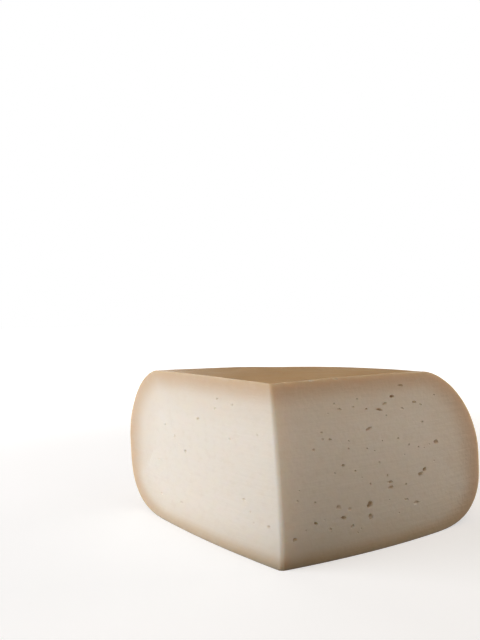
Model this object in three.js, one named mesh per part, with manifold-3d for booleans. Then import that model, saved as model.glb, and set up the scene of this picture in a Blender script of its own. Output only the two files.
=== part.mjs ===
// A quarter of a pressed goat's-milk tomme, parted from its wheel by two knife strokes and lying on its
// flat underside. It is one solid: the thin coated rind belongs to the same piece as the paste, and the
// eyes that the knife opened are hollows in the two cut faces.
import * as THREE from "three";
import { mergeVertices } from "three/addons/utils/BufferGeometryUtils.js";
import Module from "manifold-3d";

// The wheel, in millimetres. Its rim is a soft shoulder above and a fuller one below.
const WHEEL_RADIUS = 140;
const WHEEL_HEIGHT = 80.7;
const UPPER_SHOULDER = { run: 42.3, rise: 44.2, roundness: 1.74 };
const LOWER_SHOULDER = { run: 47, rise: 29.9, roundness: 2.7 };
const TOP_SWELL = 0.5;
const RIM_WANDER = 0.5;
const RIM_WAVES = 7;

// The two cuts, a quarter turn apart. A soft paste springs out after the knife, so each face bows by
// these amounts halfway along it, the tip bulges to the right, and the piece leans a little along its cuts.
const QUARTER_TURN = Math.PI / 2;
const RIGHT_CUT = { bowBottom: 6.1, bowTop: -0.5 };
const LEFT_CUT = { bowBottom: 4.1, bowTop: 2.5 };
const LEAN = { alongRight: -3.3, alongLeft: 1.8 };
const TIP_BULGE = { depth: 1.3, reach: 30, sag: 0.63 };

// The clear eyes by hand: distance from the tip, height, length, width, rise away from the tip in degrees,
// and depth.
const RIGHT_EYES = [
  { along: 88.3, level: 30.4, length: 4.8, width: 1.8, rise: 6, depth: 1.3 },
  { along: 91.7, level: 32.1, length: 3.2, width: 2.0, rise: 20, depth: 1.4 },
  { along: 51.3, level: 21.2, length: 4.2, width: 2.8, rise: 20, depth: 1.3 },
  { along: 102.9, level: 44.5, length: 3.8, width: 2.4, rise: -4, depth: 1.2 },
  { along: 82.9, level: 17.1, length: 4.6, width: 2.0, rise: 0, depth: 0.8 },
  { along: 55.7, level: 55.9, length: 4.6, width: 1.5, rise: 14, depth: 1.1 },
  { along: 66.0, level: 29.5, length: 4.4, width: 1.4, rise: -6, depth: 1.0 },
  { along: 64.1, level: 64.2, length: 4.4, width: 1.2, rise: -9, depth: 1.1 },
  { along: 80.5, level: 74.7, length: 4.0, width: 1.4, rise: -9, depth: 0.9 },
  { along: 66.1, level: 27.1, length: 4.2, width: 1.7, rise: 5, depth: 1.0 },
  { along: 73.6, level: 69.8, length: 3.2, width: 1.5, rise: 2, depth: 1.3 },
  { along: 89.3, level: 65.8, length: 3.4, width: 1.3, rise: -4, depth: 1.0 },
  { along: 34.9, level: 17.8, length: 3.6, width: 1.5, rise: -19, depth: 1.1 },
  { along: 75.8, level: 19.8, length: 3.2, width: 1.2, rise: -10, depth: 0.8 },
  { along: 32.5, level: 22.8, length: 3.2, width: 2.2, rise: -2, depth: 0.8 },
  { along: 51.1, level: 15.6, length: 3.2, width: 2.7, rise: -20, depth: 0.9 },
  { along: 38.2, level: 66.6, length: 2.7, width: 1.3, rise: -10, depth: 0.6 },
  { along: 7.0, level: 12.5, length: 2.3, width: 1.7, rise: 10, depth: 1.3 },
  { along: 67.9, level: 66.7, length: 3.4, width: 1.2, rise: 8, depth: 0.9 },
  { along: 80.0, level: 63.5, length: 2.5, width: 1.1, rise: -10, depth: 0.6 },
  { along: 37.5, level: 41.0, length: 2.2, width: 1.3, rise: -5, depth: 1.2 },
  { along: 19.1, level: 17.8, length: 2.4, width: 1.4, rise: -25, depth: 1.3 },
  { along: 93.6, level: 55.5, length: 2.2, width: 1.4, rise: 0, depth: 0.7 },
  { along: 39.5, level: 13.1, length: 2.6, width: 1.5, rise: 30, depth: 0.9 },
  { along: 55.4, level: 65.2, length: 1.9, width: 1.1, rise: 0, depth: 0.7 },
  { along: 31.2, level: 53.5, length: 2.0, width: 1.0, rise: -8, depth: 1.2 },
  { along: 26.6, level: 53.9, length: 1.7, width: 1.4, rise: 0, depth: 0.6 },
  { along: 74.8, level: 49.3, length: 1.8, width: 1.4, rise: 0, depth: 0.6 },
  { along: 44.4, level: 37.6, length: 1.7, width: 1.1, rise: -5, depth: 0.6 },
  { along: 76.6, level: 26.9, length: 1.9, width: 1.2, rise: 0, depth: 0.9 },
  { along: 53.2, level: 46.9, length: 1.8, width: 0.9, rise: -10, depth: 0.6 },
  { along: 38.8, level: 21.2, length: 2.4, width: 2.0, rise: 0, depth: 0.5 },
  { along: 93.8, level: 64.2, length: 2.2, width: 1.0, rise: -8, depth: 0.6 },
  { along: 26.8, level: 13.8, length: 2.0, width: 1.8, rise: 0, depth: 0.5 },
  { along: 26.5, level: 57.1, length: 1.9, width: 1.1, rise: 0, depth: 0.8 },
  { along: 41.5, level: 48.1, length: 1.8, width: 1.1, rise: -8, depth: 0.6 },
  { along: 9.5, level: 28.8, length: 1.8, width: 1.2, rise: -20, depth: 0.6 },
  { along: 47.0, level: 66.8, length: 1.6, width: 1.0, rise: 0, depth: 0.6 },
  { along: 60.2, level: 39.5, length: 1.5, width: 1.4, rise: 0, depth: 0.6 },
  { along: 64.8, level: 32.8, length: 1.4, width: 1.6, rise: 0, depth: 0.6 },
  { along: 21.0, level: 50.0, length: 1.8, width: 1.3, rise: 0, depth: 0.8 },
  { along: 19.5, level: 26.8, length: 1.5, width: 1.1, rise: 0, depth: 0.8 },
];
const LEFT_EYES = [
  { along: 70.2, level: 41.3, length: 3.0, width: 1.6, rise: 0, depth: 0.8 },
  { along: 56.8, level: 59.3, length: 2.8, width: 1.6, rise: -10, depth: 0.6 },
  { along: 22.4, level: 26.6, length: 2.3, width: 1.4, rise: -15, depth: 0.5 },
  { along: 7.4, level: 17.6, length: 2.3, width: 1.3, rise: -20, depth: 0.4 },
  { along: 75.9, level: 13.9, length: 4.0, width: 1.4, rise: -4, depth: 0.5 },
  { along: 98.2, level: 14.1, length: 3.1, width: 1.4, rise: -3, depth: 0.5 },
  { along: 18.4, level: 21.8, length: 1.6, width: 1.1, rise: -10, depth: 0.4 },
  { along: 16.5, level: 17.2, length: 1.9, width: 1.2, rise: -10, depth: 0.3 },
  { along: 80.7, level: 47.5, length: 1.8, width: 1.5, rise: 0, depth: 0.5 },
  { along: 11.2, level: 57.1, length: 1.6, width: 1.3, rise: 0, depth: 0.3 },
  { along: 39.6, level: 70.7, length: 1.6, width: 0.9, rise: -5, depth: 0.6 },
];

// The least eyes between them follow a scatter rule, the longest first.
const SMALL_EYES = {
  longest: 1.6, shortest: 0.9, slimmest: 0.55, roundest: 0.9, steepest: 25, depth: 0.5,
};
const RIGHT_SMALL = { count: 24, firstTurn: 0 };
const LEFT_SMALL = { count: 8, firstTurn: 500 };
const EYE_FIELD = { near: 9, far: 106, low: 9, high: 73 };
const EYE_SPACING = 1.5;
const SCATTER = { turnStep: 12.9898, kindStep: 78.233, stretch: 43758.5453 };
const SCATTER_KINDS = { along: 1, level: 2, width: 3, rise: 4 };

// How finely the surfaces are divided.
const WHEEL_SECTORS = 160;
const SHOULDER_STEPS = 14;
const FLAT_STEPS = 4;
const CUT_STEPS = 22;
const CUT_LEVELS = 9;
const BLOCK_REACH = 165;
const BLOCK_CLEARANCE = 6;
const LARGE_EYE_DETAIL = 1;
const SMALL_EYE_DETAIL = 0;
const WELD_DISTANCE = 1e-4;

const PASTE_COLOUR = 0xe0d2bd;
const PASTE_ROUGHNESS = 0.55;

const wasm = await Module();
wasm.setup();

function moveVertices(geometry, move) {
  const position = geometry.attributes.position;
  const vertex = new THREE.Vector3();
  for (let i = 0; i < position.count; i += 1) {
    move(vertex.fromBufferAttribute(position, i));
    position.setXYZ(i, vertex.x, vertex.y, vertex.z);
  }
  return geometry;
}

// A closed geometry as a solid. Triangles that close up at the wheel's axis are dropped.
function toSolid(geometry) {
  geometry.deleteAttribute("normal");
  geometry.deleteAttribute("uv");
  const welded = mergeVertices(geometry, WELD_DISTANCE);
  const corners = Array.from(welded.index.array);
  const triangles = [];
  for (let i = 0; i < corners.length; i += 3) {
    const triangle = corners.slice(i, i + 3);
    if (new Set(triangle).size === 3) triangles.push(...triangle);
  }
  const vertProperties = welded.attributes.position.array;
  const triVerts = Uint32Array.from(triangles);
  return new wasm.Manifold(new wasm.Mesh({ numProp: 3, vertProperties, triVerts }));
}

function toGeometry(solid) {
  const { vertProperties, triVerts } = solid.getMesh();
  const geometry = new THREE.BufferGeometry();
  geometry.setAttribute("position", new THREE.BufferAttribute(vertProperties, 3));
  geometry.setIndex(new THREE.BufferAttribute(triVerts, 1));
  geometry.computeVertexNormals();
  return geometry;
}

// Where a shoulder has come to after a share of its turn: out from its start, and away from the flat.
function shoulderPoint({ run, rise, roundness }, share) {
  const turn = share * QUARTER_TURN;
  const out = WHEEL_RADIUS - run + run * Math.sin(turn) ** (2 / roundness);
  const away = rise * (1 - Math.cos(turn) ** (2 / roundness));
  return { out, away };
}

// The wheel's half section, from the middle of the underside round the rim to the middle of the top.
function halfSection() {
  const points = [];
  for (let i = 0; i < FLAT_STEPS; i += 1) {
    const out = ((WHEEL_RADIUS - LOWER_SHOULDER.run) * i) / FLAT_STEPS;
    points.push(new THREE.Vector2(out, 0));
  }
  for (let i = 0; i <= SHOULDER_STEPS; i += 1) {
    const { out, away } = shoulderPoint(LOWER_SHOULDER, i / SHOULDER_STEPS);
    points.push(new THREE.Vector2(out, away));
  }
  for (let i = SHOULDER_STEPS; i >= 0; i -= 1) {
    const { out, away } = shoulderPoint(UPPER_SHOULDER, i / SHOULDER_STEPS);
    points.push(new THREE.Vector2(out, WHEEL_HEIGHT - away));
  }
  for (let i = FLAT_STEPS - 1; i >= 0; i -= 1) {
    const share = i / FLAT_STEPS;
    const out = (WHEEL_RADIUS - UPPER_SHOULDER.run) * share;
    points.push(new THREE.Vector2(out, WHEEL_HEIGHT + TOP_SWELL * 4 * share * (1 - share)));
  }
  return points;
}

// The whole wheel, its side wandering a little between the two cuts as a pressed cheese does.
function wheel() {
  const geometry = new THREE.LatheGeometry(halfSection(), WHEEL_SECTORS);
  geometry.rotateX(QUARTER_TURN);
  return moveVertices(geometry, (v) => {
    const angle = Math.atan2(v.y, v.x);
    const level = Math.sin((Math.PI * Math.min(v.z, WHEEL_HEIGHT)) / WHEEL_HEIGHT);
    const wander = RIM_WANDER * level * Math.sin(2 * angle) * Math.sin(RIM_WAVES * angle);
    const grow = 1 + (wander * Math.hypot(v.x, v.y)) / WHEEL_RADIUS ** 2;
    v.set(v.x * grow, v.y * grow, v.z);
  });
}

// How far a cut face stands out from its straight cut.
function bow(cut, along, level) {
  const share = THREE.MathUtils.clamp(along / WHEEL_RADIUS, 0, 1);
  const depth = THREE.MathUtils.lerp(cut.bowBottom, cut.bowTop, level / WHEEL_HEIGHT);
  return depth * 4 * share * (1 - share);
}

// What the knife leaves: a block whose two near faces are the cuts, the right one along x, the left along y.
function knifeBlock() {
  const depth = WHEEL_HEIGHT + 2 * BLOCK_CLEARANCE;
  const geometry = new THREE.BoxGeometry(
    BLOCK_REACH, BLOCK_REACH, depth, CUT_STEPS, CUT_STEPS, CUT_LEVELS,
  );
  geometry.translate(BLOCK_REACH / 2, BLOCK_REACH / 2, WHEEL_HEIGHT / 2);
  return moveVertices(geometry, (v) => {
    const right = bow(RIGHT_CUT, v.x, v.z) * (1 - v.y / BLOCK_REACH);
    const left = bow(LEFT_CUT, v.y, v.z) * (1 - v.x / BLOCK_REACH);
    v.set(v.x - left, v.y - right, v.z);
  });
}

// One eye: a lens-shaped hollow centred on its cut face.
function eye(cut, { along, level, length, width, rise, depth }, detail) {
  const geometry = new THREE.IcosahedronGeometry(1, detail);
  geometry.scale(length / 2, depth, width / 2);
  geometry.rotateY(-THREE.MathUtils.degToRad(rise));
  const out = bow(cut, along, level);
  if (cut === RIGHT_CUT) return geometry.translate(along, -out, level);
  return geometry.rotateZ(QUARTER_TURN).translate(-out, along, level);
}

// A number from 0 to 1 that looks random and is the same on every run.
function scatter(turn, kind) {
  const wave = Math.sin(turn * SCATTER.turnStep + kind * SCATTER.kindStep);
  return THREE.MathUtils.euclideanModulo(wave * SCATTER.stretch, 1);
}

// The least eyes of one face, each clear of those already there.
function smallEyes(placed, { count, firstTurn }) {
  const { lerp } = THREE.MathUtils;
  const { longest, shortest, slimmest, roundest, steepest, depth } = SMALL_EYES;
  const small = [];
  for (let turn = firstTurn + 1; small.length < count; turn += 1) {
    const length = lerp(longest, shortest, small.length / count);
    const width = length * lerp(slimmest, roundest, scatter(turn, SCATTER_KINDS.width));
    const next = {
      along: lerp(EYE_FIELD.near, EYE_FIELD.far, scatter(turn, SCATTER_KINDS.along)),
      level: lerp(EYE_FIELD.low, EYE_FIELD.high, scatter(turn, SCATTER_KINDS.level)),
      length,
      width,
      rise: lerp(-steepest, steepest, scatter(turn, SCATTER_KINDS.rise)),
      depth: width * depth,
    };
    const clear = [...placed, ...small].every((other) => {
      const gap = Math.hypot(next.along - other.along, next.level - other.level);
      return gap > (next.length + other.length) / 2 + EYE_SPACING;
    });
    if (clear) small.push(next);
  }
  return small;
}

// The wedge: the wheel inside the knife block, with the eyes hollowed out of its cut faces.
function wedgeSolid() {
  const faces = [
    { cut: RIGHT_CUT, large: RIGHT_EYES, small: smallEyes(RIGHT_EYES, RIGHT_SMALL) },
    { cut: LEFT_CUT, large: LEFT_EYES, small: smallEyes(LEFT_EYES, LEFT_SMALL) },
  ];
  let solid = toSolid(wheel()).intersect(toSolid(knifeBlock()));
  for (const { cut, large, small } of faces) {
    for (const each of large) solid = solid.subtract(toSolid(eye(cut, each, LARGE_EYE_DETAIL)));
    for (const each of small) solid = solid.subtract(toSolid(eye(cut, each, SMALL_EYE_DETAIL)));
  }
  return solid;
}

// The slump: a lean along both cuts, and a bulge that moves the tip squarely to the right.
const slumped = moveVertices(toGeometry(wedgeSolid()), (v) => {
  const share = THREE.MathUtils.clamp(v.z / WHEEL_HEIGHT, 0, 1);
  const nearTip = Math.max(1 - Math.hypot(v.x, v.y) / TIP_BULGE.reach, 0);
  const bulge = TIP_BULGE.depth * Math.sin(Math.PI * share ** TIP_BULGE.sag) * nearTip ** 2;
  const alongRight = LEAN.alongRight * share + bulge * Math.SQRT1_2;
  const alongLeft = LEAN.alongLeft * share - bulge * Math.SQRT1_2;
  v.set(v.x + alongRight, v.y + alongLeft, v.z);
});
slumped.rotateZ(QUARTER_TURN / 2);

const paste = new THREE.MeshStandardMaterial({ color: PASTE_COLOUR, roughness: PASTE_ROUGHNESS });
const wedge = new THREE.Mesh(slumped, paste);
wedge.name = "cheese_wedge";

// The origin is under the middle of the piece, on the surface it rests on.
const box = new THREE.Box3().setFromObject(wedge, true);
const middle = box.getCenter(new THREE.Vector3());
wedge.position.set(-middle.x, -middle.y, -box.min.z);

const group = new THREE.Group();
group.name = "goat_tomme_wedge";
group.add(wedge);

export default group;
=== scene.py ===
import math

import bmesh
import bpy
from mathutils import Matrix, Vector, kdtree, noise


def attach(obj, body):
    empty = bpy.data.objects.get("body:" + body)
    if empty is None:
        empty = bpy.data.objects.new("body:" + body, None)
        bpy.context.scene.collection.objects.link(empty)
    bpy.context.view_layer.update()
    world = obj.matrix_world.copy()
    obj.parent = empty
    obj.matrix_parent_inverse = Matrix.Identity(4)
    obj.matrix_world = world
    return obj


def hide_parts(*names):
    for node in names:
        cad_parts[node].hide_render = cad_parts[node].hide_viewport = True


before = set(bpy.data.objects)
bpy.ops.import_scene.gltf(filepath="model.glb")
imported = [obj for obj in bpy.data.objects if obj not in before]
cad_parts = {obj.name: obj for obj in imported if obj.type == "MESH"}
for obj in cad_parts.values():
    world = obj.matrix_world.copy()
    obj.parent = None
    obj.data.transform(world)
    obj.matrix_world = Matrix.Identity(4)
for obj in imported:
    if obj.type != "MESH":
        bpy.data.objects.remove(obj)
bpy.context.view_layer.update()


# The view: a lens a little longer than normal, at about a hand's height above the table, nearly level.
# It is set from the foot of the wedge's tip, which is the nearest point of the piece.
TIP_FOOT = Vector((0.0014, -0.0691, 0.0))
VIEW_AZIMUTH = math.radians(9.77)
VIEW_DOWN = 0.008
VIEW_ROLL = -0.009
VIEW_HEIGHT = 0.1105
TIP_AHEAD = 0.2977
TIP_RIGHT = 0.0167
VIEW_LENS_MM = 39.07
NEAREST_SEEN = 0.01

view_ahead = Vector((-math.sin(VIEW_AZIMUTH), math.cos(VIEW_AZIMUTH), 0))
view_right = Vector((math.cos(VIEW_AZIMUTH), math.sin(VIEW_AZIMUTH), 0))
view_place = TIP_FOOT - TIP_AHEAD * view_ahead - TIP_RIGHT * view_right + Vector((0, 0, VIEW_HEIGHT))
camera = bpy.data.objects.new("camera", bpy.data.cameras.new("camera"))
bpy.context.scene.collection.objects.link(camera)
camera.data.lens = VIEW_LENS_MM
camera.data.clip_start = NEAREST_SEEN
camera.matrix_world = (
    Matrix.Translation(view_place)
    @ Matrix.Rotation(VIEW_AZIMUTH, 4, "Z")
    @ Matrix.Rotation(math.pi / 2 - VIEW_DOWN, 4, "X")
    @ Matrix.Rotation(VIEW_ROLL, 4, "Z")
)
bpy.context.scene.camera = camera


# The cheese is one block of pressed curd, turned out of its mould as a wheel with soft shoulders.
# A quarter is left between two cuts. The soft paste springs out behind the knife, so both cut faces
# bow, and the piece has slumped a little along its cuts.
WHEEL_RADIUS = 0.140
WHEEL_HEIGHT = 0.0807
UPPER_RUN, UPPER_RISE, UPPER_ROUNDNESS = 0.0423, 0.0442, 1.74
LOWER_RUN, LOWER_RISE, LOWER_ROUNDNESS = 0.0470, 0.0299, 2.7
TOP_SWELL, SWELL_POWER = 0.0005, 8
RIGHT_BOW_BOTTOM, RIGHT_BOW_TOP = 0.0061, -0.0005
LEFT_BOW_BOTTOM, LEFT_BOW_TOP = 0.0041, 0.0025
LEAN_ALONG_RIGHT, LEAN_ALONG_LEFT = -0.0033, 0.0018
RIM_WANDER, RIM_WAVES = 0.0005, 7
TIP_BLUNT = 0.0018
TIP_BULGE, TIP_BULGE_REACH, TIP_BULGE_SAG = 0.0013, 0.030, 0.63
QUARTER_TURN = math.pi / 2
SECTION_COLUMNS = 110
LOWER_ROWS, SIDE_ROWS, UPPER_ROWS = 36, 4, 40
SECTION_ROWS = LOWER_ROWS + SIDE_ROWS + UPPER_ROWS
SPIN_STEPS = 110
CROWDING = 0.85
GRID_HALF = 0.5
HUMP = 4  # share * (1 - share), taken this many times, is 1 halfway
SAME_PLACE = 1e-6
RIND_SLOT, PASTE_SLOT, EYE_SLOT, CHIP_SLOT = 0, 1, 2, 3


def shoulder(run, rise, roundness, share):
    """How far out from the axis, and away from the flat, a shoulder is after a share of its turn."""
    turn = share * QUARTER_TURN
    out = WHEEL_RADIUS - run + run * math.sin(turn) ** (2 / roundness)
    away = rise * (1 - max(math.cos(turn), 0.0) ** (2 / roundness))
    return out, away


def rim_at(row):
    """The rim's distance from the axis and its height on one row of the half section."""
    if row <= LOWER_ROWS:
        return shoulder(LOWER_RUN, LOWER_RISE, LOWER_ROUNDNESS, row / LOWER_ROWS)
    if row >= LOWER_ROWS + SIDE_ROWS:
        out, away = shoulder(UPPER_RUN, UPPER_RISE, UPPER_ROUNDNESS, (SECTION_ROWS - row) / UPPER_ROWS)
        return out, WHEEL_HEIGHT - away
    side = WHEEL_HEIGHT - UPPER_RISE - LOWER_RISE
    return WHEEL_RADIUS, LOWER_RISE + side * (row - LOWER_ROWS) / SIDE_ROWS


def crowded(share):
    """Moves evenly spaced divisions closer together towards both ends."""
    return share - CROWDING * math.sin(2 * math.pi * share) / (2 * math.pi)


def bow_angle(bottom, top, out, level):
    """The angle about the wheel's axis by which a bowed cut face stands out from its straight cut."""
    depth = bottom + (top - bottom) * level / WHEEL_HEIGHT
    return depth * HUMP * (1 - min(out / WHEEL_RADIUS, 1)) / WHEEL_RADIUS


def slumped(out, angle, level):
    """A point of the straight quarter, bowed and leaning as the real one is, before it is centred."""
    share = angle / QUARTER_TURN
    turned = angle + QUARTER_TURN / 2
    turned -= bow_angle(RIGHT_BOW_BOTTOM, RIGHT_BOW_TOP, out, level) * (1 - share)
    turned += bow_angle(LEFT_BOW_BOTTOM, LEFT_BOW_TOP, out, level) * share
    share_up = min(max(level / WHEEL_HEIGHT, 0), 1)
    bulge = TIP_BULGE * math.sin(math.pi * share_up ** TIP_BULGE_SAG)
    bulge *= max(1 - out / TIP_BULGE_REACH, 0) ** 2
    wander = math.sin(math.pi * share_up) * math.sin(2 * angle) * math.sin(RIM_WAVES * angle)
    out += RIM_WANDER * wander * (out / WHEEL_RADIUS) ** 2
    lean = Vector((LEAN_ALONG_RIGHT, LEAN_ALONG_LEFT, 0)) * level / WHEEL_HEIGHT
    lean.rotate(Matrix.Rotation(QUARTER_TURN / 2, 3, "Z"))
    return Vector((out * math.cos(turned) + bulge, out * math.sin(turned), level)) + lean


def blunted(out, angle):
    """Rounds the sharp tip between the two cuts."""
    along, across = TIP_BLUNT - out * math.cos(angle), TIP_BLUNT - out * math.sin(angle)
    if min(along, across) <= 0:
        return out, angle
    inset = max(along, across) / math.hypot(along, across)
    along, across = TIP_BLUNT - along * inset, TIP_BLUNT - across * inset
    return math.hypot(along, across), math.atan2(across, along)


# The half section is a grid, its rows running from the axis out to the rim.
wedge_mesh = bmesh.new()
bmesh.ops.create_grid(wedge_mesh, x_segments=SECTION_COLUMNS, y_segments=SECTION_ROWS, size=GRID_HALF)
for vert in wedge_mesh.verts:
    share_out = crowded(vert.co.x + GRID_HALF)
    share_up = vert.co.y + GRID_HALF
    rim_out, level = rim_at(round(share_up * SECTION_ROWS))
    swell = TOP_SWELL * HUMP * share_out * (1 - share_out) * share_up ** SWELL_POWER
    vert.co = Vector((share_out * rim_out, 0, level + swell))

# Turning it by a quarter leaves the two cut faces as its ends.
bmesh.ops.spin(
    wedge_mesh,
    geom=wedge_mesh.verts[:] + wedge_mesh.edges[:] + wedge_mesh.faces[:],
    cent=(0, 0, 0),
    axis=(0, 0, 1),
    angle=QUARTER_TURN,
    steps=SPIN_STEPS,
)
bmesh.ops.remove_doubles(wedge_mesh, verts=wedge_mesh.verts, dist=SAME_PLACE)
bmesh.ops.recalc_face_normals(wedge_mesh, faces=wedge_mesh.faces)
for face in wedge_mesh.faces:
    on_right = all(abs(vert.co.y) < SAME_PLACE for vert in face.verts)
    on_left = all(abs(vert.co.x) < SAME_PLACE for vert in face.verts)
    face.material_index = PASTE_SLOT if on_right or on_left else RIND_SLOT
    face.smooth = True

# Blunt the tip, bow and slump, then stand it where the frame has it.
for vert in wedge_mesh.verts:
    out = math.hypot(vert.co.x, vert.co.y)
    turn = QUARTER_TURN * crowded(math.atan2(vert.co.y, vert.co.x) / QUARTER_TURN)
    vert.co = slumped(*blunted(out, turn), vert.co.z)
lowest = Vector(min(vert.co[axis] for vert in wedge_mesh.verts) for axis in range(3))
highest = Vector(max(vert.co[axis] for vert in wedge_mesh.verts) for axis in range(3))
centring = Vector((-(lowest.x + highest.x) / 2, -(lowest.y + highest.y) / 2, -lowest.z))
bmesh.ops.translate(wedge_mesh, verts=wedge_mesh.verts, vec=centring)

# A knife leaves the edges of a soft paste a little rounded.
SHARPEST = math.radians(45)
EDGE_RINGS, EDGE_PASSES, EDGE_PULL = 3, 10, 0.5
edge_verts = {
    vert for edge in wedge_mesh.edges if edge.calc_face_angle(0) > SHARPEST for vert in edge.verts
}
for _ in range(EDGE_RINGS):
    edge_verts |= {edge.other_vert(vert) for vert in list(edge_verts) for edge in vert.link_edges}
edge_verts = sorted(edge_verts, key=lambda vert: vert.index)
for _ in range(EDGE_PASSES):
    bmesh.ops.smooth_vert(
        wedge_mesh, verts=edge_verts, factor=EDGE_PULL, use_axis_x=True, use_axis_y=True, use_axis_z=True
    )

# The rind keeps faint waves from the cloth and the shelf, and the cut faces a fainter unevenness.
RIND_WAVE, RIND_WAVE_LENGTH = 0.00028, 0.024
RIND_DIMPLE, RIND_DIMPLE_LENGTH = 0.00006, 0.005
CUT_WAVE, CUT_WAVE_LENGTH = 0.00012, 0.016
FLAT_FOOT = 0.004
wedge_mesh.normal_update()
for vert in wedge_mesh.verts:
    lifted = min(vert.co.z / FLAT_FOOT, 1)
    if any(face.material_index == PASTE_SLOT for face in vert.link_faces):
        move = CUT_WAVE * noise.noise(vert.co / CUT_WAVE_LENGTH)
    else:
        move = RIND_WAVE * noise.noise(vert.co / RIND_WAVE_LENGTH)
        move += RIND_DIMPLE * noise.noise(vert.co / RIND_DIMPLE_LENGTH)
    vert.co += vert.normal * move * lifted

wedge = bpy.data.objects.new("cheese_wedge_dressed", bpy.data.meshes.new("cheese_wedge_dressed"))
wedge_mesh.to_mesh(wedge.data)
wedge_mesh.free()
bpy.context.scene.collection.objects.link(wedge)

# The eyes are hollows that gas left in the curd and the knife laid open. The clear ones are listed one by
# one, in millimetres: along from the tip, level, length, width, rise from the tip in degrees, depth.
MM = 0.001
RIGHT_EYES = [
    (88.3, 30.4, 4.8, 1.8, 6, 1.3),
    (91.7, 32.1, 3.2, 2.0, 20, 1.4),
    (51.3, 21.2, 4.2, 2.8, 20, 1.3),
    (102.9, 44.5, 3.8, 2.4, -4, 1.2),
    (82.9, 17.1, 4.6, 2.0, 0, 0.8),
    (55.7, 55.9, 4.6, 1.5, 14, 1.1),
    (66.0, 29.5, 4.4, 1.4, -6, 1.0),
    (64.1, 64.2, 4.4, 1.2, -9, 1.1),
    (80.5, 74.7, 4.0, 1.4, -9, 0.9),
    (66.1, 27.1, 4.2, 1.7, 5, 1.0),
    (73.6, 69.8, 3.2, 1.5, 2, 1.3),
    (89.3, 65.8, 3.4, 1.3, -4, 1.0),
    (34.9, 17.8, 3.6, 1.5, -19, 1.1),
    (75.8, 19.8, 3.2, 1.2, -10, 0.8),
    (32.5, 22.8, 3.2, 2.2, -2, 0.8),
    (51.1, 15.6, 3.2, 2.7, -20, 0.9),
    (38.2, 66.6, 2.7, 1.3, -10, 0.6),
    (7.0, 12.5, 2.3, 1.7, 10, 1.3),
    (67.9, 66.7, 3.4, 1.2, 8, 0.9),
    (80.0, 63.5, 2.5, 1.1, -10, 0.6),
    (37.5, 41.0, 2.2, 1.3, -5, 1.2),
    (19.1, 17.8, 2.4, 1.4, -25, 1.3),
    (93.6, 55.5, 2.2, 1.4, 0, 0.7),
    (39.5, 13.1, 2.6, 1.5, 30, 0.9),
    (55.4, 65.2, 1.9, 1.1, 0, 0.7),
    (31.2, 53.5, 2.0, 1.0, -8, 1.2),
    (26.6, 53.9, 1.7, 1.4, 0, 0.6),
    (74.8, 49.3, 1.8, 1.4, 0, 0.6),
    (44.4, 37.6, 1.7, 1.1, -5, 0.6),
    (76.6, 26.9, 1.9, 1.2, 0, 0.9),
    (53.2, 46.9, 1.8, 0.9, -10, 0.6),
    (38.8, 21.2, 2.4, 2.0, 0, 0.5),
    (93.8, 64.2, 2.2, 1.0, -8, 0.6),
    (26.8, 13.8, 2.0, 1.8, 0, 0.5),
    (26.5, 57.1, 1.9, 1.1, 0, 0.8),
    (41.5, 48.1, 1.8, 1.1, -8, 0.6),
    (9.5, 28.8, 1.8, 1.2, -20, 0.6),
    (47.0, 66.8, 1.6, 1.0, 0, 0.6),
    (60.2, 39.5, 1.5, 1.4, 0, 0.6),
    (64.8, 32.8, 1.4, 1.6, 0, 0.6),
    (21.0, 50.0, 1.8, 1.3, 0, 0.8),
    (19.5, 26.8, 1.5, 1.1, 0, 0.8),
]
LEFT_EYES = [
    (70.2, 41.3, 3.0, 1.6, 0, 0.8),
    (56.8, 59.3, 2.8, 1.6, -10, 0.6),
    (22.4, 26.6, 2.3, 1.4, -15, 0.5),
    (7.4, 17.6, 2.3, 1.3, -20, 0.4),
    (75.9, 13.9, 4.0, 1.4, -4, 0.5),
    (98.2, 14.1, 3.1, 1.4, -3, 0.5),
    (18.4, 21.8, 1.6, 1.1, -10, 0.4),
    (16.5, 17.2, 1.9, 1.2, -10, 0.3),
    (80.7, 47.5, 1.8, 1.5, 0, 0.5),
    (11.2, 57.1, 1.6, 1.3, 0, 0.3),
    (39.6, 70.7, 1.6, 0.9, -5, 0.6),
]

# The least ones between them follow a scatter rule, the longest first.
SMALL_LONGEST, SMALL_SHORTEST = 1.6, 0.9
SMALL_SLIMMEST, SMALL_ROUNDEST = 0.55, 0.9
SMALL_STEEPEST = 25
SMALL_DEPTH = 0.5
FIELD_NEAR, FIELD_FAR, FIELD_LOW, FIELD_HIGH = 9, 106, 9, 73
EYE_SPACING = 1.5
RIGHT_SMALL_COUNT, LEFT_SMALL_COUNT = 24, 8
RIGHT_FIRST_TURN, LEFT_FIRST_TURN = 0, 500
ALONG_DRAW, LEVEL_DRAW, WIDTH_DRAW, RISE_DRAW = 1, 2, 3, 4
TURN_STRIDE, DRAW_STRIDE, SCATTER_SPREAD = 12.9898, 78.233, 43758.5453


def scatter(turn, draw):
    """A number from 0 to 1 that looks random and is the same on every run."""
    return (math.sin(turn * TURN_STRIDE + draw * DRAW_STRIDE) * SCATTER_SPREAD) % 1


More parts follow.
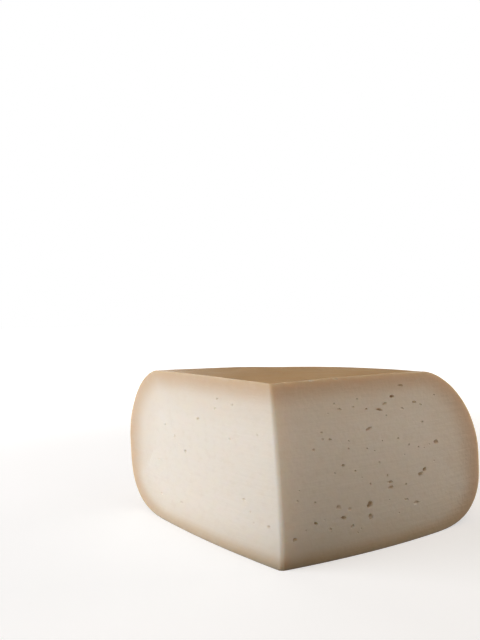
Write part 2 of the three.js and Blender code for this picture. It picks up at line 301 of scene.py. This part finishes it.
def small_eyes(placed, count, first_turn):
    """The least eyes of one face, each clear of those already there."""
    taken = list(placed)
    turn = first_turn
    while len(taken) < len(placed) + count:
        turn += 1
        share = (len(taken) - len(placed)) / count
        length = SMALL_LONGEST + (SMALL_SHORTEST - SMALL_LONGEST) * share
        along = FIELD_NEAR + (FIELD_FAR - FIELD_NEAR) * scatter(turn, ALONG_DRAW)
        level = FIELD_LOW + (FIELD_HIGH - FIELD_LOW) * scatter(turn, LEVEL_DRAW)
        roundness = SMALL_SLIMMEST + (SMALL_ROUNDEST - SMALL_SLIMMEST) * scatter(turn, WIDTH_DRAW)
        width = length * roundness
        rise = SMALL_STEEPEST * (2 * scatter(turn, RISE_DRAW) - 1)
        clear = all(
            math.hypot(along - its_along, level - its_level) > (length + its_length) / 2 + EYE_SPACING
            for its_along, its_level, its_length, *_ in taken
        )
        if clear:
            taken.append((along, level, length, width, rise, width * SMALL_DEPTH))
    return taken[len(placed):]


# Handling has left a few pale chips on the edges, given in the same way as the eyes.
RIGHT_CHIPS = [(23.0, 80.6, 2.6, 0.8, 0, 0.5), (37.7, 80.6, 3.4, 0.8, 0, 0.5)]
LEFT_CHIPS = [(126.2, 68.0, 8.0, 1.2, -62, 0.6)]
LUMPS, LUMPS_ACROSS = 0.38, 1.6
RIGHT_CUT_ANGLE, LEFT_CUT_ANGLE = 0, QUARTER_TURN
LARGE_ROUNDNESS, SMALL_ROUNDNESS = 3, 2


def hollow(cutter_mesh, cut_angle, spot, roundness, slot):
    """One lumpy lens centred on a cut face, to be taken out of the block."""
    along, level, length, width, rise, depth = spot
    centre = slumped(along * MM, cut_angle, level * MM) + centring
    outwards = (slumped(along * MM + MM, cut_angle, level * MM) + centring - centre).normalized()
    upwards = (slumped(along * MM, cut_angle, level * MM + MM) + centring - centre).normalized()
    inwards = outwards.cross(upwards).normalized()
    upwards = inwards.cross(outwards)
    lie = Matrix((outwards, inwards, upwards)).transposed().to_4x4()
    lie = lie @ Matrix.Rotation(-math.radians(rise), 4, "Y")
    lens = Matrix.Diagonal((length / 2 * MM, depth * MM, width / 2 * MM, 1))
    made = bmesh.ops.create_icosphere(cutter_mesh, subdivisions=roundness, radius=1)
    for vert in made["verts"]:
        vert.co *= 1 + LUMPS * noise.noise(vert.co * LUMPS_ACROSS + Vector((along, level, length)))
    bmesh.ops.transform(cutter_mesh, matrix=Matrix.Translation(centre) @ lie @ lens, verts=made["verts"])
    for face in {face for vert in made["verts"] for face in vert.link_faces}:
        face.material_index = slot
        face.smooth = True


# Two of the eyes have run into one, so the second of that pair is taken out after the rest.
first_mesh, second_mesh = bmesh.new(), bmesh.new()
for eye in RIGHT_EYES:
    second_lobe = eye is RIGHT_EYES[1]
    hollow(second_mesh if second_lobe else first_mesh, RIGHT_CUT_ANGLE, eye, LARGE_ROUNDNESS, EYE_SLOT)
for eye in LEFT_EYES:
    hollow(first_mesh, LEFT_CUT_ANGLE, eye, LARGE_ROUNDNESS, EYE_SLOT)
for eye in small_eyes(RIGHT_EYES, RIGHT_SMALL_COUNT, RIGHT_FIRST_TURN):
    hollow(first_mesh, RIGHT_CUT_ANGLE, eye, SMALL_ROUNDNESS, EYE_SLOT)
for eye in small_eyes(LEFT_EYES, LEFT_SMALL_COUNT, LEFT_FIRST_TURN):
    hollow(first_mesh, LEFT_CUT_ANGLE, eye, SMALL_ROUNDNESS, EYE_SLOT)
for chip in RIGHT_CHIPS:
    hollow(first_mesh, RIGHT_CUT_ANGLE, chip, LARGE_ROUNDNESS, CHIP_SLOT)
for chip in LEFT_CHIPS:
    hollow(first_mesh, LEFT_CUT_ANGLE, chip, LARGE_ROUNDNESS, CHIP_SLOT)

# The rind's thin coat and the paste share the one block, so their finishes are told apart by face.
coat = bpy.data.materials.new("satin_rind_coat")
paste = bpy.data.materials.new("goat_paste")
eye_paste = bpy.data.materials.new("eye_paste")
chip_paste = bpy.data.materials.new("chip_paste")
cutters = []
for name, cutter_mesh in (("first_hollows", first_mesh), ("second_hollows", second_mesh)):
    bmesh.ops.recalc_face_normals(cutter_mesh, faces=cutter_mesh.faces)
    cutter = bpy.data.objects.new(name, bpy.data.meshes.new(name))
    cutter_mesh.to_mesh(cutter.data)
    cutter_mesh.free()
    bpy.context.scene.collection.objects.link(cutter)
    cutters.append(cutter)
for piece in [wedge] + cutters:
    for material in (coat, paste, eye_paste, chip_paste):
        piece.data.materials.append(material)
for cutter in cutters:
    cut = wedge.modifiers.new(cutter.name, "BOOLEAN")
    cut.operation = "DIFFERENCE"
    cut.solver = "MANIFOLD"
    cut.object = cutter
bpy.context.view_layer.update()
hollowed = bpy.data.meshes.new_from_object(wedge.evaluated_get(bpy.context.evaluated_depsgraph_get()))
wedge.modifiers.clear()
wedge.data = hollowed
for cutter in cutters:
    bpy.data.objects.remove(cutter)

# The paste dries from the rind inwards, deepest at the side. Each point gets its depth under the rind as
# a share of the dry layer there, and the points inside an eye get their depth under the cut face, which
# sets the painted shade in the eyes.
TOP_DRY, SIDE_DRY, UNDERSIDE_DRY = 0.007, 0.014, 0.0045
FINE = 4
FRESH = 1.0
rind_spots = []
for step in range(FINE * SECTION_ROWS + 1):
    row = step / FINE
    sideways = min(row / LOWER_ROWS, (SECTION_ROWS - row) / UPPER_ROWS, 1)
    flat_dry = UNDERSIDE_DRY if row < LOWER_ROWS else TOP_DRY
    rind_spots.append((*rim_at(row), flat_dry + (SIDE_DRY - flat_dry) * sideways))
for step in range(SECTION_COLUMNS):
    share = step / SECTION_COLUMNS
    rind_spots.append((rim_at(0)[0] * share, 0, UNDERSIDE_DRY))
    rind_spots.append((rim_at(SECTION_ROWS)[0] * share, WHEEL_HEIGHT, TOP_DRY))
rind_tree = kdtree.KDTree(len(rind_spots))
for index, (out, level, _) in enumerate(rind_spots):
    rind_tree.insert((out, level, 0), index)
rind_tree.balance()

inside_eye, inside_chip = set(), set()
for polygon in wedge.data.polygons:
    if polygon.material_index == EYE_SLOT:
        inside_eye.update(polygon.vertices)
    if polygon.material_index == CHIP_SLOT:
        inside_chip.update(polygon.vertices)
    polygon.material_index = min(polygon.material_index, PASTE_SLOT)
under_rind = wedge.data.attributes.new("under_rind", "FLOAT", "POINT")
eye_shade_depth = wedge.data.attributes.new("eye_shade_depth", "FLOAT", "POINT")
unturned = Matrix.Rotation(-QUARTER_TURN / 2, 3, "Z")
for index, vert in enumerate(wedge.data.vertices):
    spot = unturned @ (vert.co - centring)
    spot -= Vector((LEAN_ALONG_RIGHT, LEAN_ALONG_LEFT, 0)) * spot.z / WHEEL_HEIGHT
    out, angle = math.hypot(spot.x, spot.y), math.atan2(spot.y, spot.x)
    _, nearest, depth = rind_tree.find((out, spot.z, 0))
    _, _, dry = rind_spots[nearest]
    under_rind.data[index].value = FRESH if index in inside_chip else depth / dry
    from_right = angle + bow_angle(RIGHT_BOW_BOTTOM, RIGHT_BOW_TOP, out, spot.z)
    from_left = QUARTER_TURN + bow_angle(LEFT_BOW_BOTTOM, LEFT_BOW_TOP, out, spot.z) - angle
    eye_shade_depth.data[index].value = max(min(from_right, from_left), 0) * out if index in inside_eye else 0
for unused in (chip_paste, eye_paste):
    wedge.data.materials.pop()
    bpy.data.materials.remove(unused)
CREASE = math.radians(38)
wedge.data.set_sharp_from_angle(angle=CREASE)


# The coat: a breathable film brushed on the rind, tan and satin, finely pebbled like the peel of a fruit,
# with a few blisters and specks caught under it. Towards the top it is painted browner, as painted shade
# and painted warm bounce.
BRIGHTEST = 255
SCREEN_OFFSET, SCREEN_POWER = 0.055, 2.4


def colour(red, green, blue):
    """A colour given on the 0 to 255 scale, as the shader wants it."""
    shares = (red / BRIGHTEST, green / BRIGHTEST, blue / BRIGHTEST)
    whitest = (1 + SCREEN_OFFSET) ** SCREEN_POWER
    return (*((share + SCREEN_OFFSET) ** SCREEN_POWER / whitest for share in shares), 1)


def feed(material, socket, value):
    """Links a socket to another node's result, or gives it a plain value."""
    if isinstance(value, bpy.types.NodeSocket):
        material.node_tree.links.new(value, socket)
    else:
        socket.default_value = value


def add_node(material, kind, **values):
    """A node in a material, with its options and its plain inputs set by name."""
    made = material.node_tree.nodes.new(kind)
    for name, value in values.items():
        if hasattr(made, name):
            setattr(made, name, value)
        else:
            feed(material, made.inputs[name.replace("_", " ")], value)
    return made


def clouds(material, size, detail, flattened=1.0):
    """Random clouds of about one size, which lie flat if they are flattened."""
    place = add_node(material, "ShaderNodeTexCoord").outputs["Object"]
    scale = (1 / size, 1 / size, flattened / size)
    spread = add_node(material, "ShaderNodeMapping", Vector=place, Scale=scale).outputs["Vector"]
    made = add_node(material, "ShaderNodeTexNoise", Vector=spread, Scale=1.0, Detail=detail)
    return made.outputs["Fac"]


def dots(material, spacing):
    """The distance to the nearest of many scattered points, as a share of their spacing."""
    place = add_node(material, "ShaderNodeTexCoord").outputs["Object"]
    return add_node(material, "ShaderNodeTexVoronoi", Vector=place, Scale=1 / spacing).outputs["Distance"]


def eased(material, value, start, end, low=0.0, high=1.0):
    """A value that eases from low to high while another goes from start to end."""
    made = add_node(
        material, "ShaderNodeMapRange", interpolation_type="SMOOTHSTEP", Value=value,
        From_Min=start, From_Max=end, To_Min=low, To_Max=high,
    )
    return made.outputs["Result"]


def blended(material, share, first, second):
    """A colour part of the way from a first one to a second one."""
    mix = add_node(material, "ShaderNodeMix", data_type="RGBA")
    for identifier, value in (("Factor_Float", share), ("A_Color", first), ("B_Color", second)):
        feed(material, next(each for each in mix.inputs if each.identifier == identifier), value)
    return next(each for each in mix.outputs if each.identifier == "Result_Color")


def raised(material, height, strength, distance):
    """The normal of a surface with this relief."""
    made = add_node(material, "ShaderNodeBump", Height=height, Strength=strength, Distance=distance)
    return made.outputs["Normal"]


def worked_out(material, operation, *values):
    """The result of a sum on plain numbers and other nodes' results."""
    made = add_node(material, "ShaderNodeMath", operation=operation)
    for socket, value in zip(made.inputs, values):
        feed(material, socket, value)
    return made.outputs[0]


def finished(material, values):
    """Gives a material's surface its finish, by the names of its inputs."""
    surface = material.node_tree.nodes["Principled BSDF"]
    for name, value in values.items():
        feed(material, surface.inputs[name], value)


SIDE_TAN, SIDE_PALE = colour(209, 181, 147), colour(216, 193, 163)
# The top's browner tans are painted shade and painted warm bounce, not the coat's own colour.
SHADED_TOP_TAN, SHADED_TOP_PALE = colour(210, 174, 128), colour(216, 184, 143)
SPECK_BROWN = colour(150, 112, 74)
SHADED_TOP_START, SHADED_TOP_END = 0.058, 0.079
PATCH_SIZE, PATCH_DETAIL, PATCH_START, PATCH_END = 0.030, 4.0, 0.35, 0.7
SHEEN_SIZE, SHEEN_DETAIL, SHEEN_START, SHEEN_END = 0.012, 3.0, 0.35, 0.7
GLOSSIEST, DULLEST = 0.32, 0.46
PEBBLE_SIZE, PEBBLE_DETAIL = 0.0011, 1.0
BLISTER_SPACING, BLISTER_EDGE, BLISTER_CROWN = 0.013, 0.12, 0.03
SPECK_SPACING, SPECK_EDGE, SPECK_HEART = 0.034, 0.020, 0.010
PEEL_STRENGTH, PEEL_HEIGHT = 0.6, 0.0004
COAT_SHINE = 0.4
COAT_GLOW, COAT_GLOW_REACH = 0.15, (0.004, 0.0025, 0.0012)
coat.use_nodes = True
patches = eased(coat, clouds(coat, PATCH_SIZE, PATCH_DETAIL), PATCH_START, PATCH_END)
place = add_node(coat, "ShaderNodeTexCoord").outputs["Object"]
height = add_node(coat, "ShaderNodeSeparateXYZ", Vector=place).outputs["Z"]
side_tint = blended(coat, patches, SIDE_TAN, SIDE_PALE)
shaded_top_tint = blended(coat, patches, SHADED_TOP_TAN, SHADED_TOP_PALE)
# Painted shade and painted warm bounce: the coat is blended to the browner tan towards the top.
tint = blended(coat, eased(coat, height, SHADED_TOP_START, SHADED_TOP_END), side_tint, shaded_top_tint)
specks = eased(coat, dots(coat, SPECK_SPACING), SPECK_EDGE, SPECK_HEART)
tint = blended(coat, specks, tint, SPECK_BROWN)
sheen = clouds(coat, SHEEN_SIZE, SHEEN_DETAIL)
gloss = eased(coat, sheen, SHEEN_START, SHEEN_END, GLOSSIEST, DULLEST)
blisters = eased(coat, dots(coat, BLISTER_SPACING), BLISTER_EDGE, BLISTER_CROWN)
peel = worked_out(coat, "ADD", clouds(coat, PEBBLE_SIZE, PEBBLE_DETAIL), blisters)
finished(coat, {
    "Base Color": tint,
    "Roughness": gloss,
    "Normal": raised(coat, peel, PEEL_STRENGTH, PEEL_HEIGHT),
    "Specular IOR Level": COAT_SHINE,
    "Subsurface Weight": COAT_GLOW,
    "Subsurface Radius": COAT_GLOW_REACH,
    "Subsurface Scale": 1.0,
})

# The paste: pressed curd, cream at heart, tan where it has dried under the rind, and painted darker and
# browner in the eyes as painted shade.
# The knife has left faint drag marks across it, and the grain of the curd shows between them.
CORE_CREAM = colour(238, 229, 215)
RIPE_CREAM = colour(231, 219, 201)
DRY_TAN = colour(210, 183, 151)
CURD_SHADE = colour(222, 208, 188)
# Painted shade for the hollows of the eyes.
PAINTED_EYE_SHADE = colour(186, 158, 118)
DRY_START, DRY_END, RIPE_START, RIPE_END = 0.25, 1.95, 0.9, 4.0
RAGGED_SIZE, RAGGED_DETAIL, RAGGED_SHARE = 0.018, 3.0, 0.3
MOTTLE_SIZE, MOTTLE_DETAIL, MOTTLE_FLATNESS = 0.005, 3.0, 1.6
MOTTLE_START, MOTTLE_END, MOTTLE_SHARE = 0.45, 0.8, 0.22
EYE_SHADE_START, EYE_SHADE_END = 0.0001, 0.0018
DRAG_SIZE, DRAG_DETAIL, DRAG_FLATNESS = 0.030, 3.0, 18.0
GRAIN_SIZE, GRAIN_DETAIL = 0.0022, 2.0
MARK_STRENGTH, MARK_HEIGHT = 0.4, 0.0003
PASTE_ROUGHNESS, PASTE_SHINE = 0.5, 0.35
PASTE_GLOW, PASTE_GLOW_REACH = 0.8, (0.0085, 0.0068, 0.0052)
paste.use_nodes = True
dry_share = add_node(paste, "ShaderNodeAttribute", attribute_name="under_rind").outputs["Fac"]
wobble = clouds(paste, RAGGED_SIZE, RAGGED_DETAIL)
ragged = worked_out(paste, "MULTIPLY_ADD", wobble, RAGGED_SHARE, dry_share)
tint = blended(paste, eased(paste, ragged, DRY_START, DRY_END), DRY_TAN, RIPE_CREAM)
tint = blended(paste, eased(paste, ragged, RIPE_START, RIPE_END), tint, CORE_CREAM)
mottle = clouds(paste, MOTTLE_SIZE, MOTTLE_DETAIL, MOTTLE_FLATNESS)
mottled = eased(paste, mottle, MOTTLE_START, MOTTLE_END, high=MOTTLE_SHARE)
tint = blended(paste, mottled, tint, CURD_SHADE)
# Painted shade: the deeper a point lies inside an eye, the more it is painted the darker brown.
eye_shade_share = add_node(paste, "ShaderNodeAttribute", attribute_name="eye_shade_depth").outputs["Fac"]
tint = blended(paste, eased(paste, eye_shade_share, EYE_SHADE_START, EYE_SHADE_END), tint, PAINTED_EYE_SHADE)
drag = clouds(paste, DRAG_SIZE, DRAG_DETAIL, DRAG_FLATNESS)
marks = worked_out(paste, "ADD", drag, clouds(paste, GRAIN_SIZE, GRAIN_DETAIL))
finished(paste, {
    "Base Color": tint,
    "Roughness": PASTE_ROUGHNESS,
    "Normal": raised(paste, marks, MARK_STRENGTH, MARK_HEIGHT),
    "Specular IOR Level": PASTE_SHINE,
    "Subsurface Weight": PASTE_GLOW,
    "Subsurface Radius": PASTE_GLOW_REACH,
    "Subsurface Scale": 1.0,
})

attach(wedge, "root")
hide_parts("cheese_wedge")


# The studio: a white floor that runs into a white backdrop. Both whites are for the eye alone: what they
# throw on the cheese is dimmer, and least beside the right face, where a patch of painted shade
# darkens the floor's bounce.
FLOOR_SPAN, FLOOR_SIDES = 6.0, 64
FLOOR_BOUNCE = (0.88, 0.88, 0.90, 1)
# Painted shade: a dark patch painted into the floor's bounce beside the right face.
SHADE_PATCH_PLACE = (0.118, -0.044, 0.0)
SHADE_PATCH_SPAN, SHADE_PATCH_FADE = 0.100, 0.168
SHADE_PATCH_BOUNCE = (0.06, 0.055, 0.05, 1)
FLOOR_SHEEN = (0.6, 0.6, 0.6, 1)
FLOOR_GLOW, FAR_GLOW = 0.52, 1.0
GLOW_START, GLOW_END = 0.25, 0.9
floor_mesh = bmesh.new()
bmesh.ops.create_circle(floor_mesh, cap_ends=True, segments=FLOOR_SIDES, radius=FLOOR_SPAN)
floor = bpy.data.objects.new("floor", bpy.data.meshes.new("floor"))
floor_mesh.to_mesh(floor.data)
floor_mesh.free()
bpy.context.scene.collection.objects.link(floor)
floor_white = bpy.data.materials.new("floor_white")
floor_white.use_nodes = True
floor_white.node_tree.nodes.remove(floor_white.node_tree.nodes["Principled BSDF"])
place = add_node(floor_white, "ShaderNodeTexCoord").outputs["Object"]
from_shade_patch = add_node(floor_white, "ShaderNodeVectorMath", operation="DISTANCE")
floor_white.node_tree.links.new(place, from_shade_patch.inputs[0])
from_shade_patch.inputs[1].default_value = SHADE_PATCH_PLACE
# The floor's bounce is painted dark, as painted shade, near the patch's middle.
off_shade_patch = eased(floor_white, from_shade_patch.outputs["Value"], SHADE_PATCH_SPAN, SHADE_PATCH_FADE)
bounce = blended(floor_white, off_shade_patch, SHADE_PATCH_BOUNCE, FLOOR_BOUNCE)
thrown = add_node(floor_white, "ShaderNodeBsdfDiffuse", Color=bounce)
shaded = add_node(floor_white, "ShaderNodeBsdfDiffuse", Color=FLOOR_SHEEN)
reach = add_node(floor_white, "ShaderNodeVectorMath", operation="LENGTH", Vector=place).outputs["Value"]
strength = eased(floor_white, reach, GLOW_START, GLOW_END, FLOOR_GLOW, FAR_GLOW)
glow = add_node(floor_white, "ShaderNodeEmission", Strength=strength)
seen = add_node(floor_white, "ShaderNodeAddShader")
by_eye = add_node(floor_white, "ShaderNodeLightPath").outputs["Is Camera Ray"]
either = add_node(floor_white, "ShaderNodeMixShader", Fac=by_eye)
for source, sink in (
    (shaded.outputs[0], seen.inputs[0]),
    (glow.outputs[0], seen.inputs[1]),
    (thrown.outputs[0], either.inputs[1]),
    (seen.outputs[0], either.inputs[2]),
    (either.outputs[0], floor_white.node_tree.nodes["Material Output"].inputs["Surface"]),
):
    floor_white.node_tree.links.new(source, sink)
floor.data.materials.append(floor_white)

# One large soft light stands on the left, two low ones behind, and a small one close by on the right.
# Each row is a light's name, place, span, watts and tone.
LIGHT_AIM = Vector((0, 0, 0.04))
for name, place, span, watts, tone in (
    ("key_light", Vector((-0.94, -0.32, 0.42)), 0.7, 7.9, (0.875, 0.925, 1.0)),
    ("right_rim_light", Vector((0.80, 0.50, 0.20)), 0.6, 4.4, (1.0, 0.90, 0.82)),
    ("left_rim_light", Vector((-0.60, 0.76, 0.22)), 0.6, 4.0, (0.97, 0.98, 1.0)),
    ("fill_light", Vector((0.24, -0.20, 0.34)), 0.2, 0.14, (1.0, 0.93, 0.84)),
):
    light = bpy.data.objects.new(name, bpy.data.lights.new(name, "AREA"))
    light.data.size = span
    light.data.energy = watts
    light.data.color = tone
    light.location = place
    light.visible_camera = False
    light.rotation_euler = (LIGHT_AIM - place).to_track_quat("-Z", "Y").to_euler()
    bpy.context.scene.collection.objects.link(light)

# A dim, warm light comes from all round, weaker from below and weakest from behind.
FILL_LOW = (0.20, 0.155, 0.118, 1)
FILL_HIGH = (0.36, 0.325, 0.28, 1)
FILL_BEHIND = (0.15, 0.095, 0.055, 1)
FILL_START, FILL_END = 0.0, 0.6
BEHIND_START, BEHIND_END = -0.15, 0.5
BACKDROP_WHITE = (1, 1, 1, 1)
studio = bpy.data.worlds.new("studio")
bpy.context.scene.world = studio
studio.use_nodes = True
direction = add_node(studio, "ShaderNodeTexCoord").outputs["Generated"]
heading = add_node(studio, "ShaderNodeSeparateXYZ", Vector=direction)
above = eased(studio, heading.outputs["Z"], FILL_START, FILL_END)
fill = blended(studio, above, FILL_LOW, FILL_HIGH)
behind = eased(studio, heading.outputs["Y"], BEHIND_START, BEHIND_END)
fill = blended(studio, behind, fill, FILL_BEHIND)
by_eye = add_node(studio, "ShaderNodeLightPath").outputs["Is Camera Ray"]
backdrop = studio.node_tree.nodes["Background"]
feed(studio, backdrop.inputs["Color"], blended(studio, by_eye, fill, BACKDROP_WHITE))
bpy.context.scene.view_settings.view_transform = "Standard"
